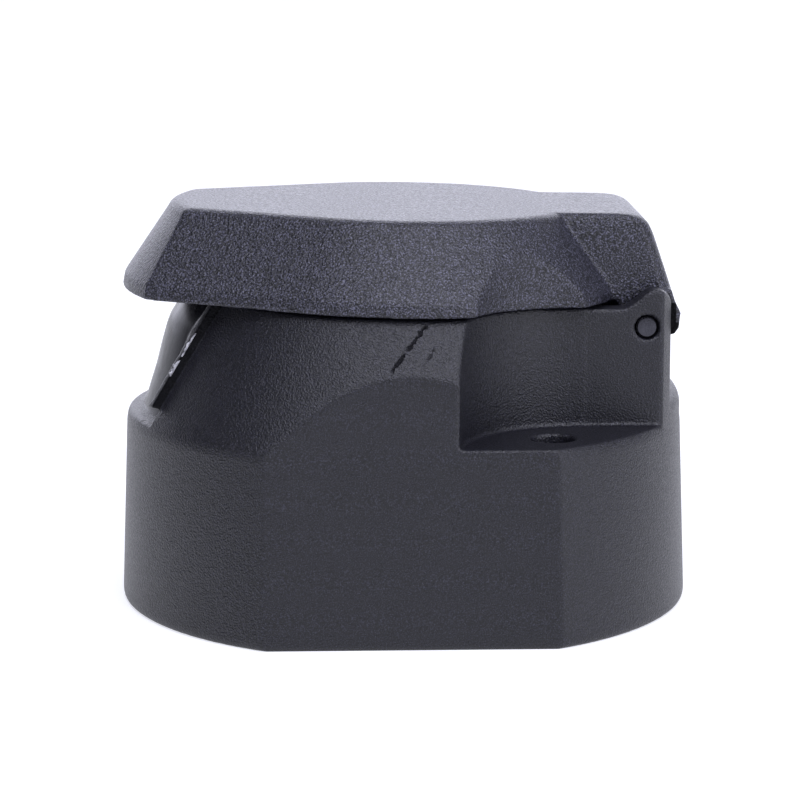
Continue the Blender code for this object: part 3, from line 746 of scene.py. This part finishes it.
class Shader:
    """Small helper that adds and links nodes of one material."""

    def __init__(self, name):
        self.material = bpy.data.materials.new(name)
        self.material.use_nodes = True
        self.tree = self.material.node_tree
        self.surface = self.tree.nodes["Principled BSDF"]
        self.place = self.node("ShaderNodeTexCoord").outputs["Object"]

    def node(self, kind, settings=None, **inputs):
        made = self.tree.nodes.new(kind)
        for key, value in (settings or {}).items():
            setattr(made, key, value)
        for key, value in inputs.items():
            self.feed(made.inputs[key.replace("_", " ")], value)
        return made

    def feed(self, socket, value):
        if isinstance(value, bpy.types.NodeSocket):
            self.tree.links.new(value, socket)
        else:
            socket.default_value = value

    def set(self, name, value):
        self.feed(self.surface.inputs[name], value)

    def noise(self, size, detail=2.0, rough=0.5, stretch=None):
        """Noise between 0 and 1 whose features are about size millimetres."""
        place = self.place
        if stretch:
            place = self.node("ShaderNodeMapping", Vector=place, Scale=stretch).outputs["Vector"]
        return self.node(
            "ShaderNodeTexNoise", Vector=place, Scale=1.0 / (size * MM), Detail=detail,
            Roughness=rough,
        ).outputs["Fac"]

    def math(self, operation, a, b=0.0):
        made = self.node("ShaderNodeMath", {"operation": operation})
        self.feed(made.inputs[0], a)
        self.feed(made.inputs[1], b)
        return made.outputs[0]

    def product(self, first, *others):
        """Several values multiplied together."""
        for other in others:
            first = self.math("MULTIPLY", first, other)
        return first

    def highest(self, first, *others):
        """The largest of several values."""
        for other in others:
            first = self.math("MAXIMUM", first, other)
        return first

    def vector(self, operation, a, b=None):
        """Vector arithmetic; an operation that measures something gives a number."""
        made = self.node("ShaderNodeVectorMath", {"operation": operation})
        self.feed(made.inputs[0], a)
        if b is not None:
            self.feed(made.inputs[1], b)
        measures = operation in {"DOT_PRODUCT", "LENGTH", "DISTANCE"}
        return made.outputs["Value" if measures else "Vector"]

    def ramp(self, value, low, high, to_low=0.0, to_high=1.0):
        """Straight line from one range to another, held flat outside it."""
        return self.node(
            "ShaderNodeMapRange", Value=value, **{
                "From_Min": low, "From_Max": high, "To_Min": to_low, "To_Max": to_high,
            },
        ).outputs["Result"]

    def tint(self, share, first, second):
        """Colour between two, by share."""
        made = self.tree.nodes.new("ShaderNodeMix")
        made.data_type = "RGBA"
        self.feed(made.inputs["Factor"], share)
        for socket, colour in zip([s for s in made.inputs if s.type == "RGBA"], (first, second)):
            self.feed(socket, colour if isinstance(colour, bpy.types.NodeSocket) else (*colour, 1.0))
        return [s for s in made.outputs if s.type == "RGBA"][0]

    def bump(self, height, depth):
        """Bump of a height between 0 and 1 that stands for depth millimetres."""
        return self.node(
            "ShaderNodeBump", Height=height, Distance=depth * MM, Strength=1.0,
        ).outputs["Normal"]

    def between(self, value, low, high, soft):
        """1 where value lies between low and high, in metres, with soft edges."""
        rise = self.ramp(value, low - soft, low + soft)
        fall = self.ramp(value, high - soft, high + soft, 1.0, 0.0)
        return self.product(rise, fall)

    def axes(self):
        """The three coordinates of a point on the object, in metres."""
        return self.node("ShaderNodeSeparateXYZ", Vector=self.place).outputs


def scratch_mask(shader, start, end, width):
    """1 along a short scratch between two points in millimetres, ragged at its edges."""
    first, last = Vector(start) * MM, Vector(end) * MM
    along = (last - first).normalized()
    offset = shader.vector("SUBTRACT", shader.place, first)
    travel = shader.vector("DOT_PRODUCT", offset, along)
    away = shader.vector("LENGTH", shader.vector("CROSS_PRODUCT", offset, along))
    length = (last - first).length
    ragged = shader.ramp(shader.noise(0.7, 3.0), 0.35, 0.65, 0.15 * width * MM, width * MM)
    near = shader.ramp(shader.math("SUBTRACT", ragged, away), -0.05 * MM, 0.12 * MM)
    return shader.product(near, shader.between(travel, 0.0, length, 0.3 * MM))


def moulded(name, colour, grain, depth, rough, worn, speck, glint):
    """Moulded black plastic: spark-eroded grain, soft colour drift, painted glints, paler worn edges."""
    shader = Shader(name)
    fine = shader.noise(grain, 1.0, 0.5)
    coarse = shader.noise(grain * 2.6, 1.0)
    height = shader.math("ADD", shader.product(fine, 0.8), shader.product(coarse, 0.2))
    drift = shader.ramp(shader.noise(9.0, 3.0), 0.3, 0.7)
    base = shader.tint(drift, [c * 0.88 for c in colour], [c * 1.14 for c in colour])
    # Painted glints: pale dots in the base colour stand in for highlights on the grain
    glint_noise = shader.noise(grain * 0.62, 1.0)
    painted_glints = shader.math("POWER", shader.ramp(glint_noise, 0.45, 0.74), 1.3)
    base = shader.tint(painted_glints, base, [c * glint for c in colour])
    wear = shader.node("ShaderNodeAttribute", {"attribute_name": "edge_wear"}).outputs["Fac"]
    patchy = shader.ramp(shader.noise(1.3, 3.0), 0.35, 0.65, 0.35, 1.0)
    rubbed = shader.product(shader.ramp(wear, 0.25, 1.0), patchy, worn)
    base = shader.tint(rubbed, base, [c * 3.2 + 0.01 for c in colour])
    dust = shader.node(
        "ShaderNodeTexVoronoi", Vector=shader.place, Scale=1.0 / (3.4 * MM), Randomness=1.0,
    ).outputs["Distance"]
    fleck = shader.math("LESS_THAN", dust, speck)
    base = shader.tint(fleck, base, (0.32, 0.31, 0.33))
    shader.set("Base Color", base)
    shader.set("Specular IOR Level", 0.45)
    shader.set("Roughness", shader.ramp(fine, 0.3, 0.7, rough + 0.08, rough - 0.08))
    shader.set("Normal", shader.bump(height, depth))
    shader.parts = {"base": base, "height": height, "depth": depth}
    return shader


def hole_mask(shader, place, radius):
    """1 inside a small ball."""
    away, soft = shader.vector("DISTANCE", shader.place, Vector(place) * MM), 0.08
    return shader.ramp(away, (radius + soft) * MM, (radius - soft) * MM)


def housing_plastic():
    """Grained body with gouges, real wear dented by bump and darkened with painted shade, a small hole
    shown only as painted shade, and painted shade on the outer faces of the nose ribs.
    """
    shader = moulded(
        "housing_grain", HOUSING_BLACK, grain=0.26, depth=0.17, rough=0.40, worn=0.5, speck=0.008,
        glint=11.0,
    )
    x, y, z = shader.axes()
    side = shader.math("ABSOLUTE", y)
    # Painted shade: the outer face of each nose rib is turned near-black where it stands in shade
    rib = shader.product(
        shader.between(side, (NOSE_HALF - 0.1) * MM, (NOSE_HALF + 0.3) * MM, 0.06 * MM),
        shader.math("GREATER_THAN", z, 28.4 * MM),
        shader.math("LESS_THAN", x, -22.0 * MM),
    )
    # Gouges are real wear dented by bump; their near-black colour is painted shade of the groove. The vent
    # spot is painted shade of a small hole that is not cut
    gouges = [
        ((1.9, -30.2, 42.8), (-2.7, -33.1, 37.1), 0.42, 0.8),
        ((2.9, -31.6, 39.9), (1.9, -32.6, 38.2), 0.25, 0.5),
        ((-19.6, -31.2, 30.2), (-22.6, -28.4, 31.3), 0.22, 0.4),
    ]
    marks = shader.highest(
        *(shader.product(scratch_mask(shader, start, end, width), share)
          for start, end, width, share in gouges),
        hole_mask(shader, VENT_PLACE, VENT_R),
    )
    dark = shader.highest(marks, shader.product(rib, 0.8))
    shader.set("Base Color", shader.tint(dark, shader.parts["base"], PAINTED_SHADE_BLACK))
    shader.set("Metallic", dark)
    height = shader.math("SUBTRACT", shader.parts["height"], shader.product(marks, 1.2))
    shader.set("Normal", shader.bump(height, shader.parts["depth"]))
    return shader.material


def lid_plastic():
    """Coarser grain than the body, with small painted glints, and painted shade on the tail's end faces.
    """
    shader = moulded(
        "lid_grain", LID_BLACK, grain=0.34, depth=0.24, rough=0.38, worn=0.45, speck=0.008,
        glint=30.0,
    )
    x, y, z = shader.axes()
    side = shader.math("ABSOLUTE", y)
    outer_skin = shader.product(
        shader.math("GREATER_THAN", x, 36.85 * MM), shader.math("GREATER_THAN", z, PIN_Z * MM),
    )
    # Painted shade: the tail's end faces beside the ears are turned near-black where they stand in shade
    end = shader.product(
        shader.between(side, (KNUCKLE_HALF - 0.25) * MM, (KNUCKLE_HALF + 0.4) * MM, 0.08 * MM),
        shader.math("LESS_THAN", z, (LID_BOTTOM_Z - 0.2) * MM),
        shader.math("GREATER_THAN", x, (PIN_X - 1.0) * MM),
        shader.math("SUBTRACT", 1.0, outer_skin),
    )
    shader.set("Base Color", shader.tint(end, shader.parts["base"], PAINTED_SHADE_BLACK))
    shader.set("Metallic", shader.product(end, 0.85))
    return shader.material


def nose_gloss():
    """The same plastic where the mould was polished; a low specular level keeps the wall dark."""
    shader = Shader("nose_gloss")
    ripple = shader.noise(2.2, 2.0)
    shader.set("Base Color", shader.tint(ripple, (0.005, 0.005, 0.007), (0.009, 0.009, 0.012)))
    shader.set("Roughness", shader.ramp(ripple, 0.3, 0.7, 0.20, 0.28))
    shader.set("Normal", shader.bump(ripple, 0.012))
    shader.set("Specular IOR Level", 0.06)
    return shader.material


def metal(name, colour, rough, streak, spots=0.0):
    """Drawn or turned metal: fine streaks along one axis and patches of tarnish."""
    shader = Shader(name)
    shader.set("Metallic", 1.0)
    lines = shader.noise(0.25, 3.0, 0.6, stretch=streak)
    patch = shader.ramp(shader.noise(1.7, 3.0), 0.35, 0.7)
    dull = [c * (0.55 - spots) for c in colour]
    share = shader.product(patch, 0.5 + spots)
    shader.set("Base Color", shader.tint(share, colour, dull))
    shader.set("Roughness", shader.ramp(lines, 0.3, 0.7, rough - 0.08, rough + 0.14))
    shader.set("Normal", shader.bump(lines, 0.01))
    return shader.material


def rubber():
    """Soft black rubber with a faint bloom."""
    shader = Shader("seal_rubber_soft")
    bloom = shader.ramp(shader.noise(2.4, 4.0), 0.35, 0.7)
    shader.set("Base Color", shader.tint(bloom, (0.012, 0.012, 0.012), (0.03, 0.03, 0.031)))
    shader.set("Roughness", shader.ramp(bloom, 0.0, 1.0, 0.62, 0.85))
    shader.set("Normal", shader.bump(shader.noise(0.18, 2.0), 0.02))
    shader.set("Sheen Weight", 0.15)
    return shader.material


def insert_plastic():
    """Glass-filled insert: smoother than the body, with faint flow marks."""
    shader = Shader("insert_plastic")
    flow = shader.ramp(shader.noise(3.0, 4.0, stretch=(1.0, 1.0, 0.3)), 0.3, 0.7)
    shader.set("Base Color", shader.tint(flow, (0.020, 0.020, 0.022), (0.034, 0.034, 0.037)))
    shader.set("Roughness", shader.ramp(flow, 0.0, 1.0, 0.34, 0.5))
    shader.set("Normal", shader.bump(shader.noise(0.4, 2.0), 0.008))
    return shader.material


def flash_plastic():
    """Whitened slivers of flash that the mould left along one rib."""
    shader = Shader("whitened_flash")
    pale = shader.ramp(shader.noise(0.5, 2.0), 0.3, 0.7)
    shader.set("Base Color", shader.tint(pale, (0.16, 0.16, 0.18), (0.62, 0.62, 0.66)))
    shader.set("Roughness", shader.ramp(pale, 0.0, 1.0, 0.35, 0.6))
    shader.set("Normal", shader.bump(pale, 0.02))
    return shader.material


# ---------------------------------------------------------------- flash on the rib

def build_flash():
    """Thin torn fins along the outer edge of the near rib: top, bottom and reach of each stretch."""
    stretches = [(39.6, 36.4, 0.32), (35.9, 33.7, 0.55)]
    steps = 26
    bm = bmesh.new()
    y = -(NOSE_HALF + 2 * LAP)
    for high, low, reach in stretches:
        rows = []
        for i in range(steps + 1):
            share = i / steps
            z = high + (low - high) * share
            torn = 0.55 + 0.45 * math.sin(19.0 * share + high) * math.cos(7.3 * share)
            width = reach * math.sin(math.pi * share) ** 0.8 * torn + 0.02
            edge = -math.sqrt((cone_radius(z) + NOSE_RIB) ** 2 - y * y)
            lift = 0.12 * math.sin(23.0 * share)
            rows.append([
                bm.verts.new((edge + 0.15, y + 0.02, z)),
                bm.verts.new((edge - width, y + 0.05 + lift, z + 0.3 * width)),
                bm.verts.new((edge - width, y + 0.13 + lift, z + 0.3 * width)),
                bm.verts.new((edge + 0.15, y + 0.22, z)),
            ])
        for first, second in zip(rows, rows[1:]):
            for k in range(4):
                j = (k + 1) % 4
                bm.faces.new((first[k], first[j], second[j], second[k]))
        bm.faces.new(rows[0])
        bm.faces.new(rows[-1])
    return make_object("mould_flash", bm)


# ---------------------------------------------------------------- studio

def floor():
    """Plain pale floor that glows a little, wide enough to fill the view."""
    half = FLOOR_HALF
    corners = [(-half, -half), (half, -half), (half, half), (-half, half)]
    bm = bmesh.new()
    bm.faces.new([bm.verts.new((x, y, 0.0)) for x, y in corners])
    sheet = make_object("studio_floor", bm)
    shader = Shader("pale_floor")
    cloud = shader.ramp(shader.noise(120.0, 2.0), 0.3, 0.7)
    shader.set("Base Color", shader.tint(cloud, (0.54, 0.54, 0.54), (0.57, 0.57, 0.57)))
    shader.set("Roughness", 0.9)
    shader.set("Emission Color", (0.93, 0.94, 1.0, 1.0))
    shader.set("Emission Strength", FLOOR_GLOW)
    shader.set("Specular IOR Level", 0.1)
    sheet.data.materials.append(shader.material)


def studio_world():
    """White tent: bright behind and overhead, dim in front and dimmer to the left."""
    world = bpy.data.worlds.new("studio")
    bpy.context.scene.world = world
    world.use_nodes = True
    tree = world.node_tree
    out = tree.nodes["Background"]
    direction = tree.nodes.new("ShaderNodeTexCoord").outputs["Generated"]
    parts = tree.nodes.new("ShaderNodeSeparateXYZ")
    tree.links.new(direction, parts.inputs[0])

    def rise(axis, low, high, bottom, top):
        """Strength that grows from bottom to top as the direction's axis goes from low to high."""
        node = tree.nodes.new("ShaderNodeMapRange")
        node.interpolation_type = "SMOOTHSTEP"
        tree.links.new(parts.outputs[axis], node.inputs["Value"])
        for name, value in zip(("From Min", "From Max", "To Min", "To Max"), (low, high, bottom, top)):
            node.inputs[name].default_value = value
        return node.outputs["Result"]

    def join(operation, first, second):
        node = tree.nodes.new("ShaderNodeMath")
        node.operation = operation
        tree.links.new(first, node.inputs[0])
        tree.links.new(second, node.inputs[1])
        return node.outputs[0]

    side = rise("X", -0.65, 0.65, LEFT_LIGHT, RIGHT_LIGHT)
    back = rise("Y", 0.55, 0.97, 0.0, BACK_LIGHT)
    top = rise("Z", 0.55, 1.0, 0.0, TOP_LIGHT)
    tree.links.new(join("ADD", join("ADD", back, side), top), out.inputs["Strength"])
    out.inputs["Color"].default_value = (*LIGHT_TINT, 1.0)


def softbox(name, place, target, width, depth, power):
    """Rectangular soft light aimed at a point, all in metres."""
    light = bpy.data.lights.new(name, "AREA")
    light.shape = "RECTANGLE"
    light.size = width
    light.size_y = depth
    light.energy = power
    light.color = LIGHT_TINT
    obj = bpy.data.objects.new(name, light)
    obj.location = place
    obj.rotation_euler = (Vector(target) - Vector(place)).to_track_quat("-Z", "Y").to_euler()
    bpy.context.scene.collection.objects.link(obj)


def camera():
    """Long lens, low in front and a little to the nose side, tipped down at the socket."""
    data = bpy.data.cameras.new("camera")
    data.sensor_width = SENSOR_WIDTH
    data.lens = CAMERA_LENS
    data.clip_start = CLIP_START
    obj = bpy.data.objects.new("camera", data)
    obj.location = CAMERA_PLACE
    obj.rotation_euler = Vector(CAMERA_AIM).to_track_quat("-Z", "Y").to_euler()
    bpy.context.scene.collection.objects.link(obj)
    bpy.context.scene.camera = obj


# ---------------------------------------------------------------- the whole object

def main():
    """Make every piece, give it to its body, and set up the studio."""
    body_skin, lid_skin = housing_plastic(), lid_plastic()
    screw = metal("zinc_screw", (0.62, 0.61, 0.57), 0.30, (1.0, 1.0, 0.2), spots=0.1)
    housing = finish_piece(build_housing(), body_skin, "housing", "housing_plastic", "housing")
    mark_nose(housing, nose_gloss())
    finish_piece(build_lid(), lid_skin, "lid", "lid_plastic", "lid")
    finish_piece(build_seal(), rubber(), "lid", "seal_rubber", "lid_seal", smooth_angle=50)
    pin_steel = metal("pin_black", (0.055, 0.055, 0.065), 0.26, (1.0, 1.0, 1.0))
    finish_piece(build_pin(), pin_steel, "housing", "pin_steel", "hinge_pin", smooth_angle=40)
    spring_steel = metal("spring_wire", (0.06, 0.09, 0.20), 0.32, (1.0, 0.1, 1.0))
    coil, leg = build_spring()
    finish_piece(coil, spring_steel, "housing", "spring_steel", "lid_spring")
    finish_piece(leg, spring_steel, "lid", "spring_steel")
    finish_piece(build_carrier(), insert_plastic(), "housing", "carrier_plastic", "contact_carrier")
    brass = metal("turned_brass", (0.78, 0.58, 0.28), 0.24, (1.0, 1.0, 0.06), spots=0.1)
    for number, (x, y) in enumerate(contact_places(), start=1):
        contact = build_contact(number, x, y)
        finish_piece(contact, brass, "housing", "contact_brass", f"contact_{number}", smooth_angle=40)
        clamp = build_terminal_screw(number, x, y)
        finish_piece(clamp, screw, "housing", "screw_steel", f"terminal_screw_{number}", smooth_angle=40)
    for number, side in enumerate((-1, 1), start=1):
        flange = build_carrier_screw(number, side)
        finish_piece(flange, screw, "housing", "screw_steel", f"carrier_screw_{number}", smooth_angle=40)
    finish_piece(build_flash(), flash_plastic(), "housing", "housing_plastic")
    floor()
    studio_world()
    middle = (0.0, 0.0, 0.03)
    softbox("key_light", (0.04, -0.64, 0.78), middle, 1.75, 0.5, KEY_POWER)
    softbox("edge_light", (0.75, -0.55, 0.35), middle, 0.4, 0.4, EDGE_POWER)
    camera()
    bpy.context.scene.view_settings.view_transform = "Standard"


main()
